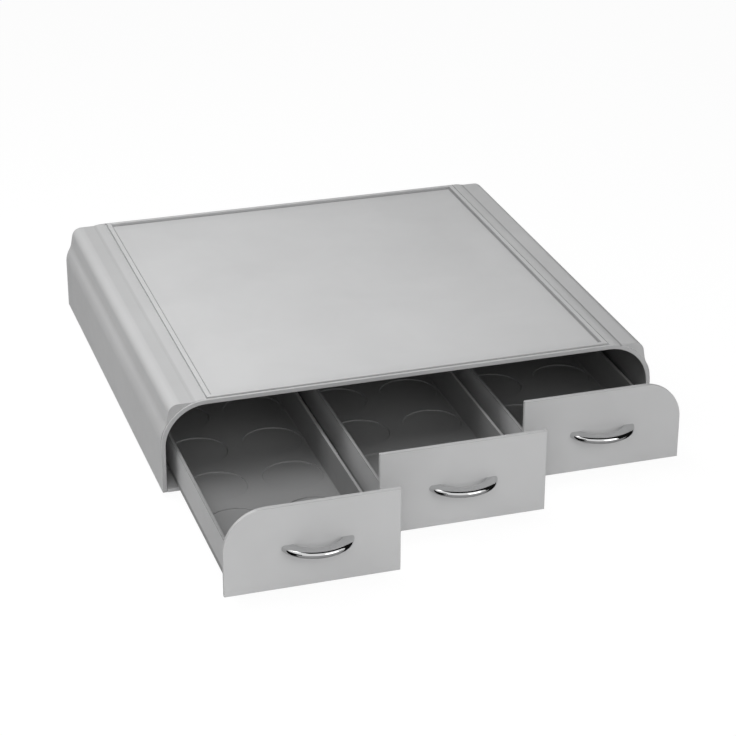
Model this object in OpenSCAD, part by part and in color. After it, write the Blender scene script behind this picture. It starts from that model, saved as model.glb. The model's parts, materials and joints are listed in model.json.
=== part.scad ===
// Countertop drawer unit for single-serve coffee pods.
// Three drawers stand side by side under a moulded top that carries the coffee machine.
// Millimetres. +Z is up, the fronts face -Y, and the origin is the middle of the
// housing's footprint, on the surface that the rubber feet stand on.

/* [Housing] */
// Width over the side walls
housing_w = 340; // [320:1:380]
// Depth from the front lip to the back wall
housing_d = 318.5; // [290:0.5:360]
// Clear height of the drawer bays
bay_h = 57; // [54:0.5:70]
// Wall of the shell
shell_wall = 2; // [1.6:0.1:2.4]
// Width of the shell's lip at each side of the mouth
mouth_side = 3; // [2.6:0.1:3.6]
// Radius of the mouth's upper corners
mouth_r = 28; // [20:1:32]
// Depth of the flange around the mouth
flange_d = 3; // [2:0.1:5]
// How far the lip stands in front of the moulding's ends
lip_out = 1.2; // [0.6:0.1:1.8]
// Back wall
back_wall = 2.4; // [1.8:0.1:3.4]
// Base plate
base_t = 2.4; // [2:0.1:3.4]

/* [Side moulding] */
// How far below its top the side starts to turn in
moulding_drop = 26.4; // [25:0.2:32]
// Radius of the lower bulge
bulge_r = 20; // [16:1:24]
// Angle that the bulge turns through
bulge_turn = 30; // [26:1:32]
// Radius of the cove above the bulge
cove_r = 15; // [12:1:16]
// Lean of the flat above the cove
lean = 10; // [6:1:14]
// Radius of the shoulder
shoulder_r = 7; // [5:0.5:8]

/* [Top] */
// Distance from the side to the step where the raised band starts
step_in = 22; // [20:0.5:28]
// Height of the raised band over the moulding
step_h = 1; // [0.6:0.1:1.6]
// Width of the curve that climbs to the band
ramp_w = 6; // [3:0.5:8]
// Distance from the side to the bead around the panel
bead_side_in = 31.6; // [30:0.2:40]
// Distance from the front and back edges to the bead
bead_end_in = 2.5; // [1.5:0.1:6]
// Width of the bead
bead_w = 3.2; // [2:0.1:5]
// Height of the bead over the band
bead_h = 0.8; // [0.4:0.1:1.6]
// Width of the groove along each side of the bead
groove_w = 1; // [0.6:0.1:1.4]
// Depth of those grooves
groove_d = 0.8; // [0.4:0.1:1]

/* [Drawers] */
// Gap between an outer front and the mouth's side
side_gap = 1; // [0.6:0.1:1.6]
// Gap between neighbouring fronts
front_gap = 1; // [0.6:0.1:2]
// Gap above and below a front
front_clear = 0.5; // [0.4:0.1:1]
// Thickness of a front
front_t = 2.6; // [2:0.1:4]
// How far a tray's wall lies inside its front's edge
tray_inset = 6.2; // [5.6:0.1:8]
// Walls of a tray
tray_wall = 2; // [1.6:0.1:2.6]
// Floor of a tray
tray_floor = 2; // [1.8:0.1:2.6]
// Height of a tray's side walls
tray_h = 25.8; // [18:0.2:32]
// Radius of a tray's lower edges
tray_edge_r = 2.4; // [1.6:0.1:3]
// Height of a tray's front wall, which the front panel is screwed to
tray_front_h = 42; // [38:0.5:48]
// Gap between a tray and the base plate
glide = 0.3; // [0.2:0.05:0.5]
// Gap between a closed tray and the back wall
back_gap = 0.5; // [0.3:0.1:2]
// Gap between a tray's tall back and the ceiling
head_gap = 1; // [0.6:0.1:2]
// Distance a drawer can be pulled out
travel = 250; // [180:5:260]
// How far the left drawer stands open
open_left = 143.3; // [0:0.1:180]
// How far the middle drawer stands open
open_middle = 98.5; // [0:0.1:180]
// How far the right drawer stands open
open_right = 56.8; // [0:0.1:180]

/* [Pod seats] */
// Distance between neighbouring pods
pod_pitch = 51.3; // [50:0.1:54]
// Diameter of a pod's seat in the tray floor
seat_d = 40; // [38:0.5:44]
// Depth of a seat
seat_depth = 0.8; // [0.4:0.1:1]

/* [Handles] */
// Width over the handle's feet
handle_w = 48; // [42:0.2:56]
// How far the bow stands out from the front
handle_out = 15.5; // [13:0.1:18]
// Height of the bow
handle_h = 4.4; // [4.2:0.1:6]
// Width of the finger gap
grip_w = 30; // [26:0.5:34]
// Depth of the finger gap
grip_out = 8; // [6.5:0.1:9]
// Edge break on the inside of the bow
grip_edge = 0.8; // [0.4:0.1:1.2]
// How far the left handle sits inward of its front's middle
left_handle_shift = 3.2; // [0:0.1:5]
// How far the handles sit below the middle of their fronts
handle_drop = 1; // [0:0.1:6]

/* [Guides and dividers] */
// Gap between a tray and the guides beside it
guide_gap = 0.6; // [0.4:0.1:0.8]
// Thickness of a guide
guide_t = 1.6; // [1.2:0.1:1.8]
// Height of a guide
guide_h = 4; // [3:0.5:8]
// Distance from the housing's front to the guides
guide_in = 8; // [6:1:20]
// Thickness of a divider
divider_t = 2.4; // [1.8:0.1:3]
// Distance from the housing's front to the dividers
divider_in = 125; // [110:1:160]
// Height of the ceiling ribs that hold a divider's top edge
keeper_h = 3; // [2:0.5:4]
// Width of the ceiling rib that stops a drawer
stop_w = 60; // [40:1:80]
// Thickness of the stop rib
stop_t = 3; // [2:0.5:4]
// Height of the stop rib
stop_h = 5; // [3:0.5:8]

/* [Feet and screws] */
// Height of a rubber foot
foot_h = 5; // [3:0.5:6]
// Diameter of a foot under the base plate
foot_d = 16; // [12:0.5:20]
// Distance from the housing's edges to a foot's middle
foot_in = 26; // [22:1:40]
// Diameter of a foot's stem
stem_d = 4; // [3:0.1:5]
// Diameter of a screw
screw_d = 2.9; // [2.5:0.1:3.2]
// Diameter of a screw's head
head_d = 5.6; // [5:0.1:6.4]
// Height of a screw's head
head_h = 1.9; // [1.5:0.1:2.4]
// Height of the screw bosses
boss_h = 16; // [12:1:22]
// How far a screw reaches into a boss
bite = 8; // [6:0.5:10]
// Diameter of a handle screw
handle_screw_d = 2.2; // [2:0.1:2.4]
// Diameter of a handle screw's head
handle_head_d = 4.4; // [4:0.1:5]
// How far a handle screw reaches into the handle
handle_bite = 4; // [3:0.1:4.5]

/* [Hidden] */
$fn = 48;

silver = [0.74, 0.74, 0.74];
dark_silver = [0.62, 0.62, 0.63];
chrome = [0.86, 0.87, 0.89];
steel = [0.55, 0.56, 0.58];
rubber = [0.12, 0.12, 0.13];

// Small clearance that a pushed-in piece has all round
fit = 0.1;
// Cuts run this far past the faces that they open
over = 1;
// Segments of the large arcs
fine = 96;
arc_steps = 10;

// Levels, counted up from the surface that the feet stand on
half_w = housing_w / 2;
y_front = -housing_d / 2;
y_back = housing_d / 2;
z_base = foot_h;
z_floor = z_base + base_t;
z_ceil = z_floor + bay_h;
z_mould = z_ceil + shell_wall;
z_band = z_mould + step_h;
z_bead = z_band + bead_h;

// Centres and ends of the arcs in the side moulding, right-hand side
z_bulge = z_mould - moulding_drop;
bulge_c = [half_w - bulge_r, z_bulge];
cove_c = bulge_c + (bulge_r + cove_r) * [cos(bulge_turn), sin(bulge_turn)];
cove_top = cove_c - cove_r * [cos(lean), sin(lean)];
shoulder_z = z_mould - shoulder_r;
shoulder_start = shoulder_z + shoulder_r * sin(lean);
shoulder_c = [cove_top[0] - (shoulder_start - cove_top[1]) * tan(lean)
    - shoulder_r * cos(lean), shoulder_z];

// Fronts and trays
mouth_half = half_w - mouth_side;
front_w = (2 * (mouth_half - side_gap) - 2 * front_gap) / 3;
front_h = bay_h - 2 * front_clear;
front_r = mouth_r - side_gap;
bay_pitch = front_w + front_gap;
tray_w = front_w - 2 * tray_inset;
tray_inner_w = tray_w - 2 * tray_wall;
tray_l = housing_d - back_wall - back_gap - front_t;
tray_inner_l = tray_l - 2 * tray_wall;
z_tray = z_floor + glide;
z_front = z_floor + front_clear;
tray_back_h = z_ceil - head_gap - z_tray;
tray_back_r = 12;
tray_front_r = 8;
inner_edge_r = 1.2;
sweep_r = 22;

// Pod seats
seats_across = floor((tray_inner_w - seat_d) / pod_pitch) + 1;
seats_along = floor((tray_inner_l - seat_d) / pod_pitch) + 1;

// Handle circles through the feet and the bow's highest point
function bow_r(chord, rise) = (chord * chord / 4 + rise * rise) / (2 * rise);
handle_r = bow_r(handle_w, handle_out);
grip_r = bow_r(grip_w, grip_out);
handle_z = z_front + front_h / 2 - handle_drop;
// The bow narrows away from its feet, so its screws stand this far inside their middles
foot_lean = 0.5;
handle_screw_x = (handle_w + grip_w) / 4 - foot_lean;

// Spaces between the trays and the shell, and what stands in them
tray_side_x = bay_pitch + tray_w / 2;
side_space = half_w - shell_wall - tray_side_x;
side_boss_d = side_space - 2 * guide_gap;
side_boss_x = tray_side_x + side_space / 2;
side_boss_in = [36, 18];
side_boss_y = [y_front + side_boss_in[0], y_back - side_boss_in[1]];
web_t = 2;
tray_gap = bay_pitch - tray_w;
boss_clear = 0.3;
divider_boss_d = tray_gap - 2 * (guide_gap + guide_t + boss_clear);
divider_x = bay_pitch / 2;
divider_y0 = y_front + divider_in;
divider_y1 = y_back - back_wall - fit;
divider_boss_in = [8, 30];
divider_boss_y = [divider_y0 + divider_boss_in[0], y_back - divider_boss_in[1]];
divider_top = z_ceil - 2 * fit;
guide_end = 1;

// Feet, screws and the holes for them
foot_x = half_w - foot_in;
foot_y = housing_d / 2 - foot_in;
foot_taper = 2;
head_taper = 1;
slot_w = 0.8;
pilot_d = screw_d + fit;
pilot_spare = 2;
hole_d = screw_d + 3 * fit;
handle_hole_d = handle_screw_d + 3 * fit;
stem_hole_d = stem_d + 2 * fit;

// The stop rib meets a tray's tall back when the drawer is fully out
stop_y = y_front + front_t + tray_l - tray_wall - travel - back_gap;

// Locating pegs on the back of each front
peg_d = 4;
peg_in = 10;
peg_h = tray_wall - 2 * fit;
peg_x = tray_w / 2 - peg_in;
peg_z = 10;

function arc(c, r, a0, a1) =
    [for (i = [0:arc_steps]) let (a = a0 + (a1 - a0) * i / arc_steps) c + r * [cos(a), sin(a)]];

function mirrored(pts) = [for (i = [len(pts) - 1:-1:0]) [-pts[i][0], pts[i][1]]];

// One side of the shell from the bottom edge to the shoulder, moved in by t
function side_profile(t, z_low) = concat(
    [[half_w - t, z_low]],
    arc(bulge_c, bulge_r - t, 0, bulge_turn),
    arc(cove_c, cove_r + t, 180 + bulge_turn, 180 + lean),
    arc(shoulder_c, shoulder_r - t, lean, 90));

// The crease at the step and the curve that climbs from it to the band
function ramp_profile() = [for (i = [0:arc_steps])
    [half_w - step_in - ramp_w * i / arc_steps, z_mould + step_h * sin(90 * i / arc_steps)]];

module outer_section() {
    half = concat(side_profile(0, z_base), ramp_profile());
    polygon(concat(half, mirrored(half)));
}

module cavity_section() {
    half = side_profile(shell_wall, z_base - over);
    polygon(concat(half, mirrored(half)));
}

// The upper half of a disc
module half_disc(r) {
    intersection() {
        circle(r, $fn = fine);
        translate([-r, 0]) square([2 * r, r]);
    }
}

// An upright arch with round upper corners
module arch(half, z_low, z_top, r) {
    translate([-half, z_low]) square([2 * half, z_top - r - z_low]);
    translate([r - half, z_low]) square([2 * (half - r), z_top - z_low]);
    for (s = [-1, 1]) translate([s * (half - r), z_top - r]) half_disc(r);
}

// Stands an x-z outline up and runs it along Y from y0 to y1
module along_y(y0, y1) {
    translate([0, y1, 0]) rotate([90, 0, 0]) linear_extrude(y1 - y0) children();
}

// A plate outline with its own radii at the lower and upper corners
module plate_outline(w, h, low_r, top_r) {
    translate([-w / 2, low_r]) square([w, h - low_r - top_r]);
    translate([low_r - w / 2, 0]) square([w - 2 * low_r, h / 2]);
    translate([top_r - w / 2, h / 2]) square([w - 2 * top_r, h / 2]);
    for (s = [-1, 1]) {
        translate([s * (w / 2 - low_r), low_r]) circle(low_r);
        translate([s * (w / 2 - top_r), h - top_r]) circle(top_r);
    }
}

module bead_frame(grow, z0, z1) {
    w = housing_w - 2 * bead_side_in + 2 * grow;
    d = housing_d - 2 * bead_end_in + 2 * grow;
    translate([-w / 2, -d / 2, z0]) cube([w, d, z1 - z0]);
}

// A groove from one outline around the panel in to another, cut down from the level z
module groove(outer, inner, z) {
    difference() {
        bead_frame(outer, z - groove_d, z_bead + over);
        bead_frame(inner, z - groove_d - over, z_bead + 2 * over);
    }
}

module side_bosses() {
    for (s = [-1, 1], y = side_boss_y) {
        translate([s * side_boss_x, y, z_floor]) cylinder(d = side_boss_d, h = boss_h);
        x0 = s > 0 ? side_boss_x : -half_w + shell_wall / 2;
        web = half_w - shell_wall / 2 - side_boss_x;
        translate([x0, y - web_t / 2, z_floor]) cube([web, web_t, boss_h]);
    }
}

module side_boss_pilots() {
    for (s = [-1, 1], y = side_boss_y) translate([s * side_boss_x, y, z_floor]) pilot();
}

// A blind hole for a base screw, from the foot of its boss
module pilot() {
    translate([0, 0, -over]) cylinder(d = pilot_d, h = over + bite + pilot_spare);
}

// Ceiling ribs: one stop above each bay, and a pair that holds each divider
module ceiling_ribs() {
    for (bay = [-1:1])
        translate([bay * bay_pitch - stop_w / 2, stop_y - stop_t, z_ceil - stop_h])
            cube([stop_w, stop_t, stop_h + over]);
    for (s = [-1, 1], side = [-1, 1]) {
        x = s * divider_x + side * (divider_t / 2 + 2 * fit + guide_t / 2);
        translate([x - guide_t / 2, divider_y0, z_ceil - keeper_h])
            cube([guide_t, divider_y1 - divider_y0, keeper_h + over]);
    }
}

module housing_shell() {
    color(silver) difference() {
        union() {
            difference() {
                union() {
                    along_y(y_front + lip_out, y_back) outer_section();
                    along_y(y_front, y_front + flange_d)
                        arch(half_w, z_base, z_band, mouth_r + mouth_side);
                    bead_frame(0, z_mould, z_bead);
                }
                along_y(y_front + flange_d, y_back - back_wall) cavity_section();
                along_y(y_front - over, y_front + flange_d + over)
                    arch(mouth_half, z_base - over, z_ceil, mouth_r);
                bead_frame(-bead_w, z_mould, z_bead + over);
                groove(groove_w, 0, z_band);
                groove(-bead_w, -bead_w - groove_w, z_mould);
            }
            side_bosses();
            ceiling_ribs();
        }
        side_boss_pilots();
    }
}

module guide_ribs() {
    for (bay = [-1:1], s = [-1, 1]) {
        outer = bay * s == 1;
        boss = side_boss_d / 2 + guide_end;
        y0 = outer ? side_boss_y[0] + boss : y_front + guide_in;
        y1 = outer ? side_boss_y[1] - boss : y_back - guide_in;
        x = bay * bay_pitch + s * (tray_w / 2 + guide_gap + guide_t / 2);
        translate([x - guide_t / 2, y0, z_floor - fit]) cube([guide_t, y1 - y0, guide_h + fit]);
    }
}

module base_plate() {
    edge = half_w - shell_wall - 2 * fit;
    neck = mouth_half - 2 * fit;
    color(dark_silver) difference() {
        union() {
            translate([-neck, y_front, z_base]) cube([2 * neck, housing_d / 2, base_t]);
            translate([-edge, y_front + flange_d + fit, z_base])
                cube([2 * edge, housing_d - flange_d - back_wall - 2 * fit, base_t]);
            guide_ribs();
        }
        for (s = [-1, 1]) {
            for (y = side_boss_y) translate([s * side_boss_x, y, z_base]) plate_hole(hole_d);
            for (y = divider_boss_y) translate([s * divider_x, y, z_base]) plate_hole(hole_d);
            for (t = [-1, 1]) translate([s * foot_x, t * foot_y, z_base]) plate_hole(stem_hole_d);
        }
    }
}

module plate_hole(d) {
    translate([0, 0, -over]) cylinder(d = d, h = base_t + 2 * over);
}

module divider(side) {
    color(dark_silver) translate([side * divider_x, 0, 0]) difference() {
        union() {
            translate([-divider_t / 2, divider_y0, z_floor])
                cube([divider_t, divider_y1 - divider_y0, divider_top - z_floor]);
            for (y = divider_boss_y)
                translate([0, y, z_floor]) cylinder(d = divider_boss_d, h = boss_h);
        }
        for (y = divider_boss_y) translate([0, y, z_floor]) pilot();
    }
}

// A screw whose shank runs up +Z from the underside of its head at z = 0
module screw(shank, head, reach) {
    difference() {
        translate([0, 0, -head_h]) cylinder(d1 = head - head_taper, d2 = head, h = head_h);
        for (a = [0, 90]) rotate(a)
            translate([-head / 4, -slot_w / 2, -head_h - over])
                cube([head / 2, slot_w, over + head_h / 2]);
    }
    cylinder(d = shank, h = reach);
}

module base_screws() {
    color(steel) for (s = [-1, 1]) {
        for (y = side_boss_y)
            translate([s * side_boss_x, y, z_base]) screw(screw_d, head_d, base_t + bite);
        for (y = divider_boss_y)
            translate([s * divider_x, y, z_base]) screw(screw_d, head_d, base_t + bite);
    }
}

// A rubber foot with a stem that is pushed up into the base plate
module foot(sx, sy) {
    color(rubber) translate([sx * foot_x, sy * foot_y, 0]) {
        cylinder(d1 = foot_d - foot_taper, d2 = foot_d, h = foot_h);
        cylinder(d = stem_d, h = foot_h + base_t - fit);
    }
}

// Low side walls that sweep up to the tall back, seen from the side with the front at y = 0
module tray_side_view() {
    back_y = tray_l - tray_wall;
    outline = [[0, 0], [tray_l, 0], [tray_l, tray_back_h], [back_y, tray_back_h]];
    sweep = arc([back_y - sweep_r, tray_h + sweep_r], sweep_r, 0, -90);
    polygon(concat(outline, sweep, [[0, tray_h]]));
}

// Runs a y-z outline across the tray
module across_x(w) {
    translate([-w / 2, 0, 0]) rotate([90, 0, 90]) linear_extrude(w) children();
}

module pod_seats() {
    x0 = -(seats_across - 1) / 2 * pod_pitch;
    y0 = tray_l / 2 - (seats_along - 1) / 2 * pod_pitch;
    for (i = [0:seats_across - 1], j = [0:seats_along - 1])
        translate([x0 + i * pod_pitch, y0 + j * pod_pitch, tray_floor - seat_depth])
            cylinder(d = seat_d, h = seat_depth + over, $fn = fine);
}

// A tray with its front wall's face at y = 0 and its underside at z = 0
module tray_body() {
    difference() {
        union() {
            intersection() {
                along_y(0, tray_l)
                    plate_outline(tray_w, tray_back_h, tray_edge_r, tray_back_r);
                across_x(tray_w + over) tray_side_view();
            }
            along_y(0, tray_wall) plate_outline(tray_w, tray_front_h, tray_edge_r, tray_front_r);
        }
        translate([0, 0, tray_floor]) along_y(tray_wall, tray_l - tray_wall)
            plate_outline(tray_inner_w, tray_back_h, inner_edge_r, inner_edge_r);
        pod_seats();
        for (s = [-1, 1]) translate([s * peg_x, -over, peg_z])
            rotate([-90, 0, 0]) cylinder(d = peg_d + 2 * fit, h = tray_wall + 2 * over);
    }
}

// Places a drawer's pieces: x at the bay's middle, y at the front's outer face, z at its lower edge
module drawer_place(bay, open) {
    translate([bay * bay_pitch, y_front - open, 0]) children();
}

module handle_hole(x, y, depth) {
    translate([x, y, handle_z]) rotate([-90, 0, 0]) cylinder(d = handle_hole_d, h = depth);
}

module tray(bay, open, shift) {
    color(silver) drawer_place(bay, open) difference() {
        translate([0, front_t, z_tray]) tray_body();
        for (s = [-1, 1])
            handle_hole(shift + s * handle_screw_x, front_t - over, tray_wall + 2 * over);
    }
}

// A front panel: the corner that follows the mouth is round, the others are square
module front_outline(bay) {
    top = z_front + front_h;
    if (bay == 0) translate([-front_w / 2, z_front]) square([front_w, front_h]);
    else {
        translate([-front_w / 2 + (bay < 0 ? front_r : 0), z_front])
            square([front_w - front_r, front_h]);
        translate([-front_w / 2, z_front]) square([front_w, front_h - front_r]);
        translate([bay * (front_w / 2 - front_r), top - front_r]) half_disc(front_r);
    }
}

module front(bay, open, shift) {
    color(silver) drawer_place(bay, open) {
        difference() {
            along_y(0, front_t) front_outline(bay);
            for (s = [-1, 1]) handle_hole(shift + s * handle_screw_x, -over, front_t + 2 * over);
        }
        for (s = [-1, 1])
            translate([s * peg_x, front_t / 2, z_tray + peg_z]) rotate([-90, 0, 0])
                cylinder(d = peg_d, h = front_t / 2 + peg_h);
    }
}

// A bow with a round outer edge, cut off flat where its feet meet the front
module bow() {
    difference() {
        intersection() {
            translate([0, handle_r - handle_out, 0]) rotate_extrude($fn = fine) {
                translate([0, -handle_h / 2]) square([handle_r - handle_h / 2, handle_h]);
                intersection() {
                    translate([handle_r - handle_h / 2, 0]) circle(d = handle_h);
                    translate([handle_r - handle_h, -handle_h]) square([2 * handle_h, 2 * handle_h]);
                }
            }
            translate([-handle_w, -handle_out - over, -handle_h])
                cube([2 * handle_w, handle_out + over, 2 * handle_h]);
        }
        translate([0, grip_r - grip_out, 0]) grip_cut();
        for (s = [-1, 1])
            translate([s * handle_screw_x, -handle_bite - 2 * fit, 0]) rotate([-90, 0, 0])
                cylinder(d = handle_screw_d + fit, h = handle_bite + over);
    }
}

// The inside of the bow, opened out a little at both faces
module grip_cut() {
    cylinder(r = grip_r, h = handle_h + 2 * over, center = true, $fn = fine);
    for (s = [0, 1]) mirror([0, 0, s]) translate([0, 0, handle_h / 2 - grip_edge])
        cylinder(r1 = grip_r, r2 = grip_r + 2 * grip_edge, h = 2 * grip_edge, $fn = fine);
}

module handle(bay, open, shift) {
    color(chrome) drawer_place(bay, open) translate([shift, 0, handle_z]) bow();
}

module handle_screws(bay, open, shift) {
    color(steel) drawer_place(bay, open)
        for (s = [-1, 1])
            translate([shift + s * handle_screw_x, front_t + tray_wall, handle_z]) rotate([90, 0, 0])
                screw(handle_screw_d, handle_head_d, front_t + tray_wall + handle_bite);
}

housing_shell();
base_plate();
divider(-1);  // divider_left
divider(1);  // divider_right
base_screws();
foot(-1, -1);  // foot_front_left
foot(1, -1);  // foot_front_right
foot(-1, 1);  // foot_back_left
foot(1, 1);  // foot_back_right
tray(-1, open_left, left_handle_shift);  // tray_left
front(-1, open_left, left_handle_shift);  // front_left
handle(-1, open_left, left_handle_shift);  // handle_left
handle_screws(-1, open_left, left_handle_shift);  // handle_screws_left
tray(0, open_middle, 0);  // tray_middle
front(0, open_middle, 0);  // front_middle
handle(0, open_middle, 0);  // handle_middle
handle_screws(0, open_middle, 0);  // handle_screws_middle
tray(1, open_right, 0);  // tray_right
front(1, open_right, 0);  // front_right
handle(1, open_right, 0);  // handle_right
handle_screws(1, open_right, 0);  // handle_screws_right
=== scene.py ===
"""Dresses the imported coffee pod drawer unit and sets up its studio.

The unit is a moulded plastic housing that carries a coffee machine on its sunk top panel.
Its pod drawers have plastic fronts with chromed bow handles, and it stands on rubber feet.
"""

import json
import logging
import math
from collections.abc import Callable, Iterable
from dataclasses import dataclass
from enum import Enum
from functools import cache

import bmesh
import bpy
from mathutils import Euler, Matrix, Vector

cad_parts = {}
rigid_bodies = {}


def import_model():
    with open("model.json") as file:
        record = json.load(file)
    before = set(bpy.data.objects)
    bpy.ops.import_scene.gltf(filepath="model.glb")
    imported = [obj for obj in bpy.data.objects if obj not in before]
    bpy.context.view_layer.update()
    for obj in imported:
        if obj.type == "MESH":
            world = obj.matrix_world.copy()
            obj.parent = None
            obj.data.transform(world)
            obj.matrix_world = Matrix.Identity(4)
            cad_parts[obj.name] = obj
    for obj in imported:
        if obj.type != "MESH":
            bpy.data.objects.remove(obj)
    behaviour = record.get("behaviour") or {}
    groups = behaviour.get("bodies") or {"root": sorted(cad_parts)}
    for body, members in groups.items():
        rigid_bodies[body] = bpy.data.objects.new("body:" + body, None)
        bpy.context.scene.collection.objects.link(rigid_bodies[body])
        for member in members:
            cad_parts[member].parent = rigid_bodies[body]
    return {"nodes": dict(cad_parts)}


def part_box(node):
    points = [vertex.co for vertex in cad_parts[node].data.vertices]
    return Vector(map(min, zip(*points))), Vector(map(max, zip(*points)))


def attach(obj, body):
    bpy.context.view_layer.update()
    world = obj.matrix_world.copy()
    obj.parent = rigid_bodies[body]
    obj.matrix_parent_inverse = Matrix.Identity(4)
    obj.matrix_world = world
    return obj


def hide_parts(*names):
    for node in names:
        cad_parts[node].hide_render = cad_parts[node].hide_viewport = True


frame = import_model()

LOG = logging.getLogger("pod_drawer_unit")

MM = 0.001

# How close two places are to count as one, in metres
TOUCHING = 1e-6
NEAR = 0.05 * MM

# The least share of a direction that runs along an axis for it to count as along that axis
ALONG = 0.9

# Edges that turn more than these many degrees are rounded, or stay sharp in the shading
ROUND_ABOVE = 30.0
SHARP_ABOVE = 40.0

# What every rounded edge has in common
ROUNDING = {"segments": 3, "use_clamp_overlap": False, "miter_outer": "MITER_ARC"}

WHITE = (1.0, 1.0, 1.0, 1.0)

Colour = tuple[float, float, float]
Point = tuple[float, float, float]
Stops = tuple[tuple[float, float], ...]
EdgeTest = Callable[[Vector, Vector], bool]


class Bay(Enum):
    """One drawer's place in the housing: its name and its side of the middle."""

    LEFT = ("left", -1)
    MIDDLE = ("middle", 0)
    RIGHT = ("right", 1)

    @property
    def label(self) -> str:
        """The name that the bay's nodes end in."""
        return self.value[0]

    @property
    def side(self) -> int:
        """-1, 0 or 1, counted towards +X."""
        return self.value[1]

    @property
    def body(self) -> str:
        """The moving body that this bay's drawer is."""
        return f"drawer_{self.label}"


class Part(Enum):
    """The kind of thing that is picked in edit mode."""

    VERTS = "VERT"
    EDGES = "EDGE"
    FACES = "FACE"


class Noise(Enum):
    """An uneven pattern: its repeats per metre, octaves, roughness and distortion."""

    CLOUD = (14.0, 3.0, 0.55, 0.4)
    MOTTLE = (90.0, 4.0, 0.65, 0.0)
    RIPPLE = (120.0, 1.0, 0.5, 0.0)
    HAZE = (220.0, 5.0, 0.7, 0.0)
    GRAIN = (2600.0, 2.0, 0.6, 0.0)
    FINE_GRAIN = (5200.0, 2.0, 0.6, 0.0)

    @property
    def scale(self) -> float:
        """How coarse the pattern is, in repeats per metre."""
        return self.value[0]


class Measure(Enum):
    """What a zone of tone is measured along: an output of the group unit_measures."""

    ACROSS = "Across"  # from the middle plane, towards +X
    WIDTH = "Width"  # from the middle plane, either side
    HEIGHT = "Height"  # above the worktop
    BAY = "Bay"  # from the middle line of a drawer, either side
    BEAD = "Bead"  # outward from the bead's outer edge
    BACKWARD = "Backward"  # how far a face looks to the back, from -1 to 1
    OUTWARD = "Outward"  # below zero on the walls of the hollow, above it on the outer skin


# ---------------------------------------------------------------- working in Blender


def deselect_all() -> None:
    """Leaves nothing selected and nothing active."""
    if bpy.context.object and bpy.context.object.mode != "OBJECT":
        bpy.ops.object.mode_set(mode="OBJECT")
    for other in bpy.context.view_layer.objects:
        other.select_set(False)
    bpy.context.view_layer.objects.active = None


def take_up(piece: bpy.types.Object) -> None:
    """Makes one piece the selected and active one.

    Args:
        piece: the object that the next operators work on.
    """
    deselect_all()
    piece.select_set(True)
    bpy.context.view_layer.objects.active = piece


def new_object(name: str, data: bpy.types.ID) -> bpy.types.Object:
    """Puts an object into the scene, at the origin.

    Args:
        name: its name.
        data: its mesh, lamp or camera.

    Returns:
        The object.
    """
    piece = bpy.data.objects.new(name, data)
    bpy.context.scene.collection.objects.link(piece)
    return piece


def edit(piece: bpy.types.Object, part: Part = Part.VERTS) -> None:
    """Opens a piece in edit mode with nothing selected.

    Args:
        piece: the object to shape.
        part: the kind of thing that will be picked.
    """
    take_up(piece)
    bpy.ops.object.mode_set(mode="EDIT")
    bpy.ops.mesh.select_mode(type=part.value)
    bpy.ops.mesh.select_all(action="DESELECT")


def pick(piece: bpy.types.Object, part: Part, wanted: Callable[..., bool]) -> None:
    """Opens a piece in edit mode and selects the parts of it that a test accepts.

    Args:
        piece: the object to shape.
        part: the kind of thing to pick.
        wanted: takes the middle of each, and the direction of an edge or the normal of a face,
            and says whether it is picked.
    """
    edit(piece, part)
    bpy.ops.object.mode_set(mode="OBJECT")
    mesh = piece.data
    if part is Part.VERTS:
        for vertex in mesh.vertices:
            vertex.select = wanted(vertex.co)
    elif part is Part.EDGES:
        for edge in mesh.edges:
            a, b = (mesh.vertices[i].co for i in edge.vertices)
            edge.select = wanted((a + b) / 2, (b - a).normalized())
    else:
        for face in mesh.polygons:
            face.select = wanted(face.center, face.normal)
    bpy.ops.object.mode_set(mode="EDIT")


def finish_modifier(piece: bpy.types.Object, kind: str, **settings: float | bool | str) -> None:
    """Adds a modifier to a piece, sets it and applies it.

    Args:
        piece: the object that gets the modifier.
        kind: the modifier's type, such as "BEVEL".
        **settings: its values by name.
    """
    take_up(piece)
    bpy.ops.object.modifier_add(type=kind)
    modifier = piece.modifiers[-1]
    for key, value in settings.items():
        setattr(modifier, key, value)
    bpy.ops.object.modifier_apply(modifier=modifier.name)


def settle(piece: bpy.types.Object) -> None:
    """Puts a piece's place into its mesh, so that the object sits at the origin."""
    take_up(piece)
    bpy.ops.object.transform_apply(location=True, rotation=True, scale=True)


def crease(piece: bpy.types.Object, wanted: EdgeTest) -> None:
    """Marks the edges that a test accepts as sharp, so that shading breaks there.

    Args:
        piece: the object.
        wanted: takes an edge's middle and direction.
    """
    pick(piece, Part.EDGES, wanted)
    bpy.ops.mesh.mark_sharp()
    bpy.ops.object.mode_set(mode="OBJECT")


def smooth(
    piece: bpy.types.Object, angle: float = SHARP_ABOVE, creases: EdgeTest | None = None
) -> None:
    """Shades a piece smooth, flat faces flat, and leaves edges sharper than an angle.

    Args:
        piece: the object to shade.
        angle: edges that turn more than this many degrees stay sharp.
        creases: picks further edges that stay sharp, by their middle and direction.
    """
    take_up(piece)
    bpy.ops.object.shade_smooth_by_angle(angle=math.radians(angle))
    edit(piece, Part.EDGES)
    bpy.ops.mesh.edges_select_sharp(sharpness=math.radians(angle))
    bpy.ops.mesh.mark_sharp()
    bpy.ops.object.mode_set(mode="OBJECT")
    if creases:
        crease(piece, creases)
    finish_modifier(piece, "WEIGHTED_NORMAL", keep_sharp=True)


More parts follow.
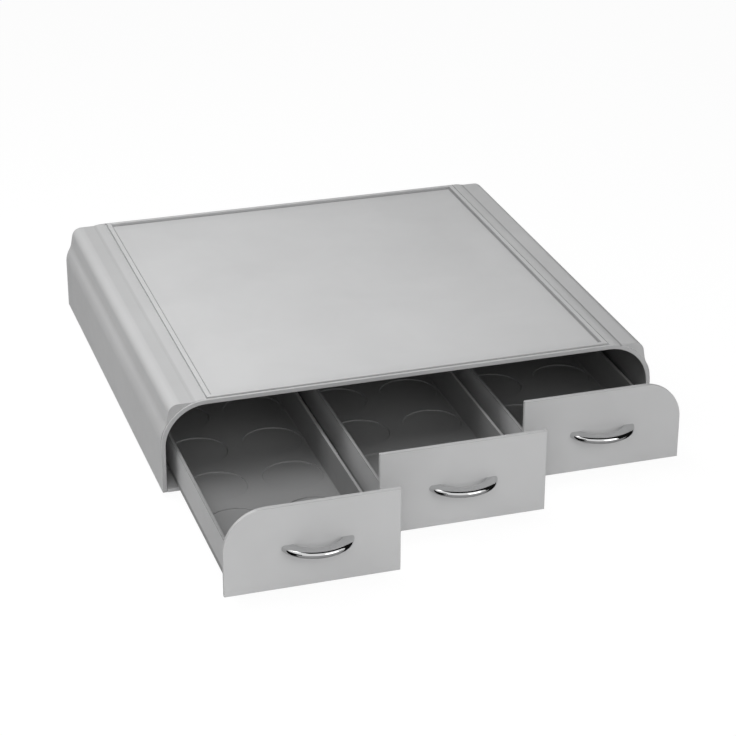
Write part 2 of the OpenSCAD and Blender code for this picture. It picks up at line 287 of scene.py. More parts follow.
def merged_copy(
    node: str, name: str, merge_within: float = 2 * TOUCHING, flat_within: float = 0.3
) -> bpy.types.Object:
    """Copies a CAD node's mesh into a new piece, with its loose triangles joined up.

    Args:
        node: the CAD node's name.
        name: the new piece's name.
        merge_within: corners closer than this are one, in metres.
        flat_within: facets that turn less than this many degrees become one face.

    Returns:
        The new object, at the origin.
    """
    piece = new_object(name, frame["nodes"][node].data.copy())
    piece.data.materials.clear()
    edit(piece)
    bpy.ops.mesh.select_all(action="SELECT")
    bpy.ops.mesh.remove_doubles(threshold=merge_within)
    bpy.ops.mesh.dissolve_limited(angle_limit=math.radians(flat_within))
    bpy.ops.object.mode_set(mode="OBJECT")
    return piece


def soften(piece: bpy.types.Object, width: float) -> None:
    """Rounds every edge of a piece that turns enough, by one width in millimetres."""
    limits = {"limit_method": "ANGLE", "angle_limit": math.radians(ROUND_ABOVE)}
    finish_modifier(piece, "BEVEL", width=width * MM, **limits, **ROUNDING)


def soften_where(piece: bpy.types.Object, width_at: Callable[[Vector, Vector], float]) -> None:
    """Rounds the outward edges of a piece that turn enough, each by its own width.

    Args:
        piece: the object to soften.
        width_at: gives an edge's width in millimetres from its middle and its direction.
    """
    shape = bmesh.new()
    shape.from_mesh(piece.data)
    weight = shape.edges.layers.float.new("bevel_weight_edge")
    widths = {}
    for edge in shape.edges:
        if len(edge.link_faces) != 2:
            continue
        if math.degrees(edge.calc_face_angle_signed(0.0)) > ROUND_ABOVE:
            a, b = (v.co for v in edge.verts)
            widths[edge] = width_at((a + b) / 2, (b - a).normalized())
    widest = max(widths.values())
    for edge, width in widths.items():
        edge[weight] = width / widest
    shape.to_mesh(piece.data)
    shape.free()
    finish_modifier(piece, "BEVEL", width=widest * MM, limit_method="WEIGHT", **ROUNDING)


def hand_over(piece: bpy.types.Object, body: str, node: str) -> None:
    """Rides a finished piece on its body and hides the node it stands for.

    Args:
        piece: the finished object.
        body: the CAD body that it moves with.
        node: the CAD node that it replaces.
    """
    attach(piece, body)
    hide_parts(node)
    LOG.info("%s: %d faces on %s", piece.name, len(piece.data.polygons), body)


def dress(piece: bpy.types.Object, material: bpy.types.Material) -> None:
    """Gives a piece one material all over."""
    piece.data.materials.clear()
    piece.data.materials.append(material)


def dress_nodes(material: bpy.types.Material, *nodes: str) -> None:
    """Gives CAD nodes that stay as they are their material.

    Args:
        material: the finish.
        *nodes: the nodes' names.
    """
    for node in nodes:
        dress(frame["nodes"][node], material)
        LOG.info("%s: stays, in %s", node, material.name)


# ---------------------------------------------------------------- finishes


class Nodes:
    """A node tree with short calls for adding and joining nodes."""

    def __init__(self, tree: bpy.types.NodeTree) -> None:
        """Takes the tree that the nodes go into."""
        self.tree = tree

    def add(self, kind: str, **values: object) -> bpy.types.Node:
        """Adds a node.

        Args:
            kind: the node's type name.
            **values: properties of the node, or values of its inputs by socket name with
                spaces written as underscores.

        Returns:
            The new node.
        """
        node = self.tree.nodes.new(kind)
        for key, value in values.items():
            socket = key.replace("_", " ")
            if socket in node.inputs:
                node.inputs[socket].default_value = value
            else:
                setattr(node, key, value)
        return node

    def join(self, source: bpy.types.NodeSocket, target: bpy.types.NodeSocket) -> None:
        """Links an output to an input."""
        self.tree.links.new(source, target)

    def maths(self, operation: str, *values: float | bpy.types.NodeSocket) -> bpy.types.NodeSocket:
        """Adds a Math node.

        Args:
            operation: what it does, such as "MAXIMUM".
            *values: a number or an output for each of its inputs in turn.

        Returns:
            Its output.
        """
        node = self.add("ShaderNodeMath", operation=operation)
        for target, value in zip(node.inputs, values):
            if isinstance(value, bpy.types.NodeSocket):
                self.join(value, target)
            else:
                target.default_value = value
        return node.outputs["Value"]

    def noise(self, pattern: Noise, place: bpy.types.NodeSocket) -> bpy.types.Node:
        """Adds a noise texture.

        Args:
            pattern: its look.
            place: the output that says where a point lies.

        Returns:
            The new node.
        """
        node = self.add("ShaderNodeTexNoise")
        for socket, value in zip(("Scale", "Detail", "Roughness", "Distortion"), pattern.value):
            node.inputs[socket].default_value = value
        self.join(place, node.inputs["Vector"])
        return node

    def span(self, source: bpy.types.NodeSocket, ends: Stops) -> bpy.types.NodeSocket:
        """Spreads a value between two levels.

        Args:
            source: the value.
            ends: two pairs of the value and the level there.

        Returns:
            The level.
        """
        (low, low_level), (high, high_level) = ends
        node = self.add("ShaderNodeMapRange", From_Min=low, From_Max=high)
        node.inputs["To Min"].default_value = low_level
        node.inputs["To Max"].default_value = high_level
        self.join(source, node.inputs["Value"])
        return node.outputs["Result"]

    def level(self, measure: bpy.types.NodeSocket, stops: Stops) -> bpy.types.NodeSocket:
        """Adds the nodes that turn a measure into a level.

        Args:
            measure: the output that is measured.
            stops: pairs of a measure and the level there.

        Returns:
            The level.
        """
        first, last = stops[0][0], stops[-1][0]
        ramp = self.add("ShaderNodeValToRGB")
        knots = ramp.color_ramp.elements
        while len(knots) < len(stops):
            knots.new(0.5)
        for knot, (spot, level) in zip(knots, stops):
            knot.position = (spot - first) / (last - first)
            knot.color = (level, level, level, 1.0)
        self.join(self.span(measure, ((first, 0.0), (last, 1.0))), ramp.inputs["Fac"])
        return ramp.outputs["Color"]


def new_group(
    name: str, inputs: dict[str, float], outputs: Iterable[str]
) -> tuple[Nodes, bpy.types.Node, bpy.types.Node]:
    """Starts a node group whose sockets are numbers.

    Args:
        name: the group's name.
        inputs: the inputs' names and their usual values.
        outputs: the outputs' names.

    Returns:
        The group's tree, its Group Input node and its Group Output node.
    """
    group = bpy.data.node_groups.new(name, "ShaderNodeTree")
    for label, usual in inputs.items():
        socket = group.interface.new_socket(label, in_out="INPUT", socket_type="NodeSocketFloat")
        socket.default_value = usual
    for label in outputs:
        group.interface.new_socket(label, in_out="OUTPUT", socket_type="NodeSocketFloat")
    nodes = Nodes(group)
    return nodes, nodes.add("NodeGroupInput"), nodes.add("NodeGroupOutput")


@cache
def moulded_grain(cell_smoothness: float = 0.8, cell_share: float = 0.5) -> bpy.types.NodeTree:
    """The fine texture that a spark-eroded mould leaves on plastic and rubber.

    Args:
        cell_smoothness: how softly the grain's cells run into each other.
        cell_share: how much the cells add to the height, beside the fine noise.

    Returns:
        A node group. Scale and Patch Scale go in; Height, Patch and Speck come out.
    """
    nodes, inlet, outlet = new_group(
        "moulded_grain",
        {"Scale": Noise.GRAIN.scale, "Patch Scale": Noise.CLOUD.scale},
        ("Height", "Patch", "Speck"),
    )
    place = nodes.add("ShaderNodeTexCoord").outputs["Object"]
    cells = nodes.add("ShaderNodeTexVoronoi", feature="SMOOTH_F1", Smoothness=cell_smoothness)
    fine = nodes.noise(Noise.GRAIN, place)
    patch = nodes.noise(Noise.CLOUD, place)
    speck = nodes.noise(Noise.MOTTLE, place)
    nodes.join(place, cells.inputs["Vector"])
    nodes.join(inlet.outputs["Scale"], fine.inputs["Scale"])
    nodes.join(inlet.outputs["Scale"], cells.inputs["Scale"])
    nodes.join(inlet.outputs["Patch Scale"], patch.inputs["Scale"])
    height = nodes.maths("MULTIPLY_ADD", cells.outputs["Distance"], cell_share, fine.outputs["Fac"])
    nodes.join(height, outlet.inputs["Height"])
    nodes.join(patch.outputs["Fac"], outlet.inputs["Patch"])
    nodes.join(speck.outputs["Fac"], outlet.inputs["Speck"])
    return nodes.tree


@cache
def unit_measures(steepness: float = 100.0) -> bpy.types.NodeTree:
    """Measures where a point lies on the unit and how it faces, in millimetres.

    Args:
        steepness: how fast Outward grows above the hollow's ceiling.

    Returns:
        A node group. The unit's own sizes go in; each Measure comes out.
    """
    nodes, inlet, outlet = new_group(
        "unit_measures",
        {
            "Bead Half Width": 138.4,
            "Bead Half Depth": 156.75,
            "Bay Pitch": 111.0,
            "Middle Height": 33.0,
            "Ceiling Height": 64.0,
        },
        (measure.value for measure in Measure),
    )
    size = inlet.outputs
    spot = nodes.add("ShaderNodeTexCoord")
    grown = nodes.add("ShaderNodeVectorMath", operation="SCALE", Scale=1 / MM)
    place = nodes.add("ShaderNodeSeparateXYZ")
    facing = nodes.add("ShaderNodeSeparateXYZ")
    nodes.join(spot.outputs["Object"], grown.inputs["Vector"])
    nodes.join(grown.outputs["Vector"], place.inputs["Vector"])
    nodes.join(spot.outputs["Normal"], facing.inputs["Vector"])
    x, y, z = (place.outputs[axis] for axis in "XYZ")

    middle = nodes.add("ShaderNodeCombineXYZ")
    away = nodes.add("ShaderNodeVectorMath", operation="SUBTRACT")
    turned = nodes.add("ShaderNodeVectorMath", operation="DOT_PRODUCT")
    nodes.join(size["Middle Height"], middle.inputs["Z"])
    nodes.join(grown.outputs["Vector"], away.inputs[0])
    nodes.join(middle.outputs["Vector"], away.inputs[1])
    nodes.join(away.outputs["Vector"], turned.inputs[0])
    nodes.join(spot.outputs["Normal"], turned.inputs[1])
    above = nodes.maths("SUBTRACT", z, size["Ceiling Height"])

    half_pitch = nodes.maths("MULTIPLY", size["Bay Pitch"], 0.5)
    other_half = nodes.maths("MULTIPLY", size["Bay Pitch"], -0.5)
    beyond_side = nodes.maths("SUBTRACT", nodes.maths("ABSOLUTE", x), size["Bead Half Width"])
    beyond_end = nodes.maths("SUBTRACT", nodes.maths("ABSOLUTE", y), size["Bead Half Depth"])
    measured = {
        Measure.ACROSS: x,
        Measure.WIDTH: nodes.maths("ABSOLUTE", x),
        Measure.HEIGHT: z,
        Measure.BAY: nodes.maths("ABSOLUTE", nodes.maths("WRAP", x, half_pitch, other_half)),
        Measure.BEAD: nodes.maths("MAXIMUM", beyond_side, beyond_end),
        Measure.BACKWARD: facing.outputs["Y"],
        Measure.OUTWARD: nodes.maths(
            "MAXIMUM", turned.outputs["Value"], nodes.maths("MULTIPLY", above, steepness)
        ),
    }
    for measure, value in measured.items():
        nodes.join(value, outlet.inputs[measure.value])
    return nodes.tree


@cache
def deeper_zone() -> bpy.types.NodeTree:
    """Paints a plastic's tone darker by one zone, where the zone counts; most zones are painted
    shade.

    Returns:
        A node group. Into it go the Tone so far, the zone's Share of the plain colour, its
        Weight, and the Height of a point and the one Above which the zone counts; the Tone
        with the zone comes out.
    """
    usual = {"Tone": 1.0, "Share": 1.0, "Weight": 1.0, "Height": 0.0, "Above": 0.0}
    nodes, inlet, outlet = new_group("deeper_zone", usual, ("Tone",))
    high = nodes.maths("GREATER_THAN", inlet.outputs["Height"], inlet.outputs["Above"])
    blend = nodes.add("ShaderNodeMix")
    blend.inputs["A"].default_value = 1.0
    nodes.join(nodes.maths("MULTIPLY", high, inlet.outputs["Weight"]), blend.inputs["Factor"])
    nodes.join(inlet.outputs["Share"], blend.inputs["B"])
    deepest = nodes.maths("MINIMUM", inlet.outputs["Tone"], blend.outputs["Result"])
    nodes.join(deepest, outlet.inputs["Tone"])
    return nodes.tree


@dataclass(frozen=True)
class Zone:
    """Where a plastic is painted darker, mostly as painted shade: in grooves, along creases, on the
    faces of the mouth, in hollows.

    The stops are pairs of a measure and the share of the plain tone that a point keeps there.
    The weights are pairs of a place across the unit and how much of the zone counts there.
    The zone only counts above a given height, in millimetres.
    """

    along: Measure
    stops: Stops
    weights: Stops = ()
    above: float = 0.0

    def deepen(
        self, nodes: Nodes, measures: bpy.types.Node, tone: bpy.types.NodeSocket | None
    ) -> bpy.types.NodeSocket:
        """Adds the nodes that deepen the tone in this zone.

        Args:
            nodes: the material's tree.
            measures: its node of the group unit_measures.
            tone: the tone that earlier zones leave, if there are any.

        Returns:
            The tone with this zone.
        """
        zone = nodes.add(
            "ShaderNodeGroup", node_tree=deeper_zone(), Tone=1.0, Weight=1.0, Above=self.above
        )
        share = nodes.level(measures.outputs[self.along.value], self.stops)
        nodes.join(share, zone.inputs["Share"])
        nodes.join(measures.outputs[Measure.HEIGHT.value], zone.inputs["Height"])
        if self.weights:
            weight = nodes.level(measures.outputs[Measure.ACROSS.value], self.weights)
            nodes.join(weight, zone.inputs["Weight"])
        if tone:
            nodes.join(tone, zone.inputs["Tone"])
        return zone.outputs["Tone"]


def blank_material(name: str) -> tuple[bpy.types.Material, Nodes]:
    """Makes a material with no nodes.

    Args:
        name: the material's name.

    Returns:
        The material and its tree.
    """
    material = bpy.data.materials.new(name)
    material.use_nodes = True
    material.node_tree.nodes.clear()
    return material, Nodes(material.node_tree)


@dataclass(frozen=True)
class Finish:
    """What every finish has: its colour and gloss, and a relief with its depth in millimetres."""

    name: str
    colour: Colour
    roughness: float
    spread: float = 0.05
    depth: float = 0.02
    bump: float = 0.35

    def mottled(
        self, nodes: Nodes, pattern: bpy.types.NodeSocket, ends: Stops
    ) -> bpy.types.NodeSocket:
        """Lets the colour wander a little with a pattern.

        Args:
            nodes: the material's tree.
            pattern: the output that the colour follows.
            ends: two pairs of the pattern's value and the share of the colour there.

        Returns:
            The colour.
        """
        ramp = nodes.add("ShaderNodeValToRGB")
        for knot, (spot, share) in zip(ramp.color_ramp.elements, ends):
            knot.position = spot
            knot.color = (*(min(1.0, c * share) for c in self.colour), 1.0)
        nodes.join(pattern, ramp.inputs["Fac"])
        return ramp.outputs["Color"]

    def surface(
        self,
        nodes: Nodes,
        colour: bpy.types.NodeSocket,
        gloss: bpy.types.NodeSocket,
        height: bpy.types.NodeSocket,
    ) -> bpy.types.Node:
        """Adds the shader and joins it up.

        Args:
            nodes: the material's tree.
            colour: the output that gives the colour.
            gloss: the output that gives the roughness.
            height: the output that gives the relief.

        Returns:
            The shader.
        """
        out = nodes.add("ShaderNodeOutputMaterial")
        shader = nodes.add("ShaderNodeBsdfPrincipled")
        bump = nodes.add("ShaderNodeBump", Strength=self.bump, Distance=self.depth * MM)
        nodes.join(height, bump.inputs["Height"])
        nodes.join(colour, shader.inputs["Base Color"])
        nodes.join(gloss, shader.inputs["Roughness"])
        nodes.join(bump.outputs["Normal"], shader.inputs["Normal"])
        nodes.join(shader.outputs["BSDF"], out.inputs["Surface"])
        return shader


@dataclass(frozen=True)
class MouldedFinish(Finish):
    """Moulded plastic or rubber: an even colour with a fine grain and a soft sheen, painted darker
    in any zones, most of which are painted shade.
    """

    grain: Noise = Noise.GRAIN
    specular: float = 0.4
    tint: float = 0.03
    pattern_span: tuple[float, float] = (0.3, 0.7)
    # Zones where the colour is painted darker; most of them are painted shade
    zones: tuple[Zone, ...] = ()

    def shaded(self, nodes: Nodes, plain: bpy.types.NodeSocket) -> bpy.types.NodeSocket:
        """Paints the plain colour darker in the finish's zones, most of them painted shade, by the
        deepest zone at each point.

        Args:
            nodes: the material's tree.
            plain: the colour without zones.

        Returns:
            The colour with them.
        """
        if not self.zones:
            return plain
        measures = nodes.add("ShaderNodeGroup", node_tree=unit_measures())
        tone = None
        for zone in self.zones:
            tone = zone.deepen(nodes, measures, tone)
        product = nodes.add("ShaderNodeVectorMath", operation="SCALE")
        nodes.join(plain, product.inputs["Vector"])
        nodes.join(tone, product.inputs["Scale"])
        return product.outputs["Vector"]

    @cache
    def material(self) -> bpy.types.Material:
        """Builds the finish, once.

        Returns:
            The material.
        """
        material, nodes = blank_material(self.name)
        grain = nodes.add("ShaderNodeGroup", node_tree=moulded_grain(), Scale=self.grain.scale)
        low, high = self.pattern_span
        gloss = nodes.span(
            grain.outputs["Speck"],
            ((low, self.roughness - self.spread), (high, self.roughness + self.spread)),
        )
        plain = self.mottled(
            nodes, grain.outputs["Patch"], ((low, 1 - self.tint), (high, 1 + self.tint))
        )
        colour = self.shaded(nodes, plain)
        shader = self.surface(nodes, colour, gloss, grain.outputs["Height"])
        shader.inputs["Specular IOR Level"].default_value = self.specular
        return material


@dataclass(frozen=True)
class MetalFinish(Finish):
    """Plated metal: bright chrome on the handles, duller zinc on the screws."""

    bump: float = 0.2
    dimmest: float = 0.97
    haze_span: tuple[float, float] = (0.35, 0.7)

    @cache
    def material(self) -> bpy.types.Material:
        """Builds the finish, once.

        Returns:
            The material.
        """
        material, nodes = blank_material(self.name)
        place = nodes.add("ShaderNodeTexCoord").outputs["Object"]
        haze = nodes.noise(Noise.HAZE, place).outputs["Fac"]
        wave = nodes.noise(Noise.RIPPLE, place).outputs["Fac"]
        low, high = self.haze_span
        gloss = nodes.span(haze, ((low, self.roughness), (high, self.roughness + self.spread)))
        colour = self.mottled(nodes, haze, ((0.0, self.dimmest), (1.0, 1.0)))
        shader = self.surface(nodes, colour, gloss, wave)
        shader.inputs["Metallic"].default_value = 1.0
        return material


# Painted shade in the grooves inside and outside the bead, fainter towards the lit left
BEAD_GROOVE_SHADE = Zone(
    Measure.BEAD,
    (
        (-14.0, 1.0), (-4.7, 0.97), (-4.25, 0.68), (-3.15, 0.68), (-2.85, 0.95),
        (-0.35, 0.95), (-0.05, 0.72), (1.05, 0.72), (1.35, 1.0), (3.0, 1.0),
    ),
    weights=(
        (-170.0, 0.36), (-138.0, 0.36), (-136.0, 0.52), (-131.0, 0.52), (-128.0, 1.0),
        (136.5, 1.0), (137.5, 0.6), (170.0, 0.6),
    ),
)
# The flat between the bead and the raised band, and the skin beyond it, painted a little darker
# than the panel
BEYOND_BEAD = Zone(
    Measure.BEAD, ((0.9, 1.0), (1.35, 0.90), (18.0, 0.90), (22.0, 0.945), (32.0, 0.945))
)
# Painted shade along the crease at the foot of the raised band and on the slope above it, deeper
# again on the right
CREASE_FOOT_SHADE = Zone(
    Measure.WIDTH,
    ((144.5, 1.0), (146.8, 0.78), (147.9, 0.78), (148.5, 0.83), (155.5, 0.83), (158.5, 1.0)),
    weights=((-170.0, 1.0), (-100.0, 1.0), (100.0, 0.6), (170.0, 0.6)),
    above=65.8,
)
# Painted shade: a narrow darker line along the crease on the right
RIGHT_CREASE_LINE_SHADE = Zone(
    Measure.WIDTH,
    ((146.3, 1.0), (146.7, 0.58), (147.9, 0.58), (148.3, 1.0)),
    weights=((-170.0, 0.0), (100.0, 0.0), (120.0, 1.0), (170.0, 1.0)),
    above=65.8,
)
# Painted shade on the faces around the mouth that look to the front, weaker on the right and none
# at the far right
MOUTH_FACE_SHADE = Zone(
    Measure.BACKWARD,
    ((-1.0, 0.74), (-0.85, 0.74), (-0.45, 1.0)),
    weights=((-170.0, 1.0), (-20.0, 1.0), (20.0, 0.6), (128.0, 0.6), (136.0, 0.0), (170.0, 0.0)),
)
# Painted shade on the walls and ceiling of the shell's hollow
HOLLOW_SHADE = Zone(Measure.OUTWARD, ((-2.0, 0.5), (0.0, 1.0)))
# Painted shade along the top edge of each drawer front
FRONT_TOP_SHADE = Zone(Measure.HEIGHT, ((62.9, 1.0), (63.3, 0.84), (64.0, 0.84)))
# Painted shade along the tray's low edge and over its floor
TRAY_FOOT_SHADE = Zone(Measure.HEIGHT, ((7.6, 0.58), (10.8, 0.58), (12.4, 1.0)))
# Painted shade along the top edges of the tray's walls
TRAY_RIM_SHADE = Zone(Measure.HEIGHT, ((32.7, 1.0), (33.1, 0.56), (33.6, 0.56), (34.0, 1.0)))
# Painted shade over the inside of each tray
TRAY_INSIDE_SHADE = Zone(Measure.BAY, ((46.0, 0.45), (47.0, 0.45), (47.6, 1.0)))

SHELL_PLASTIC = MouldedFinish(
    "moulded_shell",
    colour=(0.636, 0.638, 0.641),
    roughness=0.46,
    zones=(BEAD_GROOVE_SHADE, BEYOND_BEAD, CREASE_FOOT_SHADE, RIGHT_CREASE_LINE_SHADE, MOUTH_FACE_SHADE, HOLLOW_SHADE),
)
FRONT_PLASTIC = MouldedFinish(
    "moulded_front", colour=(0.600, 0.602, 0.605), roughness=0.44, zones=(FRONT_TOP_SHADE,)
)
TRAY_PLASTIC = MouldedFinish(
    "moulded_tray",
    colour=(0.580, 0.582, 0.585),
    roughness=0.48,
    zones=(TRAY_FOOT_SHADE, TRAY_RIM_SHADE, TRAY_INSIDE_SHADE),
)
BASE_PLASTIC = MouldedFinish(
    "moulded_base", colour=(0.560, 0.562, 0.565), roughness=0.55, depth=0.03
)
FOOT_RUBBER = MouldedFinish(
    "soft_rubber",
    colour=(0.022, 0.022, 0.024),
    roughness=0.72,
    grain=Noise.FINE_GRAIN,
    depth=0.04,
)
HANDLE_CHROME = MetalFinish(
    "bright_chrome", colour=(0.64, 0.642, 0.645), roughness=0.02, spread=0.03, depth=0.001
)
SCREW_ZINC = MetalFinish(
    "dull_zinc", colour=(0.58, 0.59, 0.61), roughness=0.28, spread=0.14, depth=0.006
)


# ---------------------------------------------------------------- the unit


@dataclass
class Housing:
    """The moulded shell, its base plate and its dividers."""

    lip_edge: float = 0.4
    back_edge: float = 0.8
    bead_edge: float = 0.3
    low_edge: float = 0.3
    crease_x: float = 148.0
    top: float = 66.4

    def edge_width(self, middle: Vector, way: Vector) -> float:
        """How far one of the shell's edges is rounded.

        Args:
            middle: the edge's middle, in metres.
            way: the edge's direction.

        Returns:
            The width in millimetres, 0 for an edge that stays sharp.
        """
        low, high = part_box("housing_shell")
        if abs(middle.y - low.y) < NEAR:
            return self.lip_edge
        if abs(middle.y - high.y) < NEAR and abs(way.y) < ALONG:
            return self.back_edge
        if middle.z > high.z - NEAR:
            return self.bead_edge
        if middle.z < low.z + NEAR:
            return self.low_edge
        return 0.0

    def on_crease(self, middle: Vector, way: Vector) -> bool:
        """Says whether an edge is the line where the raised band starts.

        Args:
            middle: the edge's middle, in metres.
            way: the edge's direction.

        Returns:
            True for such an edge.
        """
        return (
            abs(way.y) > ALONG
            and abs(abs(middle.x) - self.crease_x * MM) < 2 * NEAR
            and abs(middle.z - self.top * MM) < 2 * NEAR
        )

    def shell(self) -> bpy.types.Object:
        """Makes the shell with softened edges.

        Returns:
            The finished piece.
        """
        piece = merged_copy("housing_shell", "moulded_housing")
        soften_where(piece, self.edge_width)
        smooth(piece, creases=self.on_crease)
        dress(piece, SHELL_PLASTIC.material())
        return piece

    def build(self) -> None:
        """Makes the shell and dresses the nodes that stay."""
        hand_over(self.shell(), "housing", "housing_shell")
        dress_nodes(BASE_PLASTIC.material(), "base_plate", "divider_left", "divider_right")
        dress_nodes(SCREW_ZINC.material(), "base_screws")


@dataclass
class RubberFoot:
    """A round rubber foot, a little narrower at the bottom, with a hollow underside."""

    width: float = 16.0
    taper: float = 2.0
    height: float = 5.0
    edge: float = 0.7
    rim: float = 2.2
    hollow: float = 0.6
    hollow_slope: float = 0.3
    facets: int = 64
    edge_facets: int = 4
    sharp_above: float = 50.0
    corners: tuple[str, ...] = ("front_left", "front_right", "back_left", "back_right")

    def model(self) -> bpy.types.Object:
        """Models one foot at the origin.

        Returns:
            The foot, standing on z = 0.
        """
        deselect_all()
        bpy.ops.mesh.primitive_cone_add(
            vertices=self.facets,
            radius1=(self.width - self.taper) / 2 * MM,
            radius2=self.width / 2 * MM,
            depth=self.height * MM,
            location=(0, 0, self.height / 2 * MM),
        )
        piece = bpy.context.object
        settle(piece)
        pick(piece, Part.FACES, lambda c, n: n.z < -ALONG)
        bpy.ops.mesh.inset(thickness=self.rim * MM, depth=0)
        bpy.ops.mesh.inset(thickness=self.hollow_slope * MM, depth=-self.hollow * MM)
        low, high = NEAR, self.height * MM - NEAR
        within = (self.width - self.taper - self.rim) / 2 * MM
        pick(piece, Part.EDGES, lambda c, d: not low < c.z < high and c.xy.length > within)
        bpy.ops.mesh.bevel(offset=self.edge * MM, segments=self.edge_facets, affect="EDGES")
        bpy.ops.object.mode_set(mode="OBJECT")
        smooth(piece, self.sharp_above)
        return piece

    def build(self) -> None:
        """Copies the foot to the housing's corners."""
        pattern = self.model()
        dress(pattern, FOOT_RUBBER.material())
        for corner in self.corners:
            low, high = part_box(f"foot_{corner}")
            foot = new_object(f"rubber_foot_{corner}", pattern.data.copy())
            middle = (low + high) / 2
            foot.data.transform(Matrix.Translation((middle.x, middle.y, 0)))
            hand_over(foot, "housing", f"foot_{corner}")
        bpy.data.objects.remove(pattern)


@dataclass
class FrontPanel:
    """A drawer's front: a plate whose outer upper corner follows the housing's mouth."""

    thickness: float = 2.6
    corner: float = 27.0
    corner_facets: int = 40
    edge: float = 0.45

    def model(self, bay: Bay) -> bpy.types.Object:
        """Models one front in its place.

        Args:
            bay: the drawer that it belongs to.

        Returns:
            The front panel.
        """
        low, high = (Vector(corner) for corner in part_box(f"front_{bay.label}"))
        high.y = low.y + self.thickness * MM
        deselect_all()
        bpy.ops.mesh.primitive_cube_add(size=1, location=(low + high) / 2)
        piece = bpy.context.object
        piece.name = f"front_panel_{bay.label}"
        piece.scale = high - low
        settle(piece)
        if bay.side:
            corner_x = high.x if bay.side > 0 else low.x
            pick(
                piece,
                Part.EDGES,
                lambda c, d: abs(d.y) > ALONG
                and abs(c.x - corner_x) < NEAR
                and c.z > high.z - NEAR,
            )
            bpy.ops.mesh.bevel(
                offset=self.corner * MM, segments=self.corner_facets, affect="EDGES"
            )
            bpy.ops.object.mode_set(mode="OBJECT")
        soften(piece, self.edge)
        smooth(piece)
        return piece


@dataclass
class BowHandle:
    """A cast bow whose outer edge is half round, standing out from the front.

    Past each of the tucks' places, counted from the middle, an end keeps a share of its reach.
    """

    width: float = 48.0
    out: float = 15.5
    height: float = 4.4
    grip_width: float = 30.0
    grip_out: float = 8.0
    grip_edge: float = 0.6
    steps: int = 96
    spread: float = 156.0
    grip_spread: float = 128.0
    nose_angles: range = range(90, -91, -9)
    edge_angles: range = range(90, 181, 15)
    tucks: tuple[tuple[float, float], ...] = ((14.0, 0.96), (17.0, 0.93), (20.0, 0.85))

    @staticmethod
    def radius(chord: float, rise: float) -> float:
        """The radius of the arc over a chord with a given rise."""
        return (chord * chord / 4 + rise * rise) / (2 * rise)

    @staticmethod
    def _arc(across: float, up: float, radius: float, angles: range) -> list[tuple[float, float]]:
        """Sets points along an arc.

        Args:
            across: the arc's middle, counted out from the spin's axis.
            up: the height of its middle.
            radius: the arc's radius.
            angles: the points' angles, in degrees.

        Returns:
            (radius, height) of each point.
        """
        turns = [math.radians(angle) for angle in angles]
        return [(across + radius * math.cos(t), up + radius * math.sin(t)) for t in turns]

    def _spun_row(
        self, name: str, section: list[tuple[float, float]], centre: float, spread: float
    ) -> bpy.types.Object:
        """Spins a section about an upright axis in front of the drawer.

        Args:
            name: the object's name.
            section: (radius, height) of each point of the section, in millimetres.
            centre: the axis' distance behind the front's face.
            spread: the angle that the spin turns through, in degrees.

        Returns:
            The spun strip.
        """
        deselect_all()
        bpy.ops.mesh.primitive_plane_add(size=1)
        piece = bpy.context.object
        piece.name = name
        edit(piece)
        bpy.ops.mesh.select_all(action="SELECT")
        bpy.ops.mesh.merge(type="CENTER")
        start = math.radians(-90 - spread / 2)
        way = Vector((math.cos(start), math.sin(start), 0))
        spots = [(way * r + Vector((0, centre, z))) * MM for r, z in section]
        bpy.ops.transform.translate(value=spots[0])
        for here, there in zip(spots, spots[1:]):
            bpy.ops.mesh.extrude_vertices_move(TRANSFORM_OT_translate={"value": there - here})
        bpy.ops.mesh.select_all(action="SELECT")
        bpy.ops.mesh.spin(
            steps=self.steps,
            angle=-math.radians(spread),
            center=(0, centre * MM, 0),
            axis=(0, 0, 1),
        )
        bpy.ops.object.mode_set(mode="OBJECT")
        return piece

    def model(self) -> bpy.types.Object:
        """Models the handle with its feet on y = 0 and its middle at the origin.

        Returns:
            The handle.
        """
        half = self.height / 2
        outer_r = self.radius(self.width, self.out)
        inner_r = self.radius(self.grip_width, self.grip_out)
        edge = self.grip_edge
        nose = self._arc(outer_r - half, 0, half, self.nose_angles)
        inside = self._arc(inner_r + edge, half - edge, edge, self.edge_angles)
        inside += [(r, -z) for r, z in reversed(inside)]
        bow = self._spun_row("bow", nose, outer_r - self.out, self.spread)
        grip = self._spun_row("grip", inside, inner_r - self.grip_out, self.grip_spread)
        take_up(bow)
        grip.select_set(True)
        bpy.ops.object.join()
        piece = bpy.context.object
        for level in (half, -half):
            pick(piece, Part.EDGES, lambda c, d, z=level: abs(c.z - z * MM) < TOUCHING)
            bpy.ops.mesh.bridge_edge_loops()
        edit(piece)
        bpy.ops.mesh.select_all(action="SELECT")
        bpy.ops.mesh.normals_make_consistent(inside=False)
        bpy.ops.mesh.bisect(
            plane_co=(0, 0, 0), plane_no=(0, 1, 0), use_fill=True, clear_outer=True
        )
        bpy.ops.mesh.select_all(action="SELECT")
        bpy.ops.mesh.remove_doubles(threshold=TOUCHING)
        bpy.ops.mesh.normals_make_consistent(inside=False)
        for side in (-1, 1):
            self._tuck_end(piece, side)
        bpy.ops.object.mode_set(mode="OBJECT")
        take_up(piece)
        bpy.ops.object.shade_smooth_by_angle(angle=math.radians(SHARP_ABOVE))
        return piece

    def _tuck_end(self, piece: bpy.types.Object, side: int) -> None:
        """Draws one end of the bow in, so that it meets the front more squarely.

        Args:
            piece: the handle.
            side: -1 for the left end, 1 for the right one.
        """
        for start, share in self.tucks:
            pick(piece, Part.VERTS, lambda c, s=start: c.x * side > s * MM)
            bpy.ops.transform.resize(
                value=(share, 1, 1), center_override=(side * start * MM, 0, 0)
            )


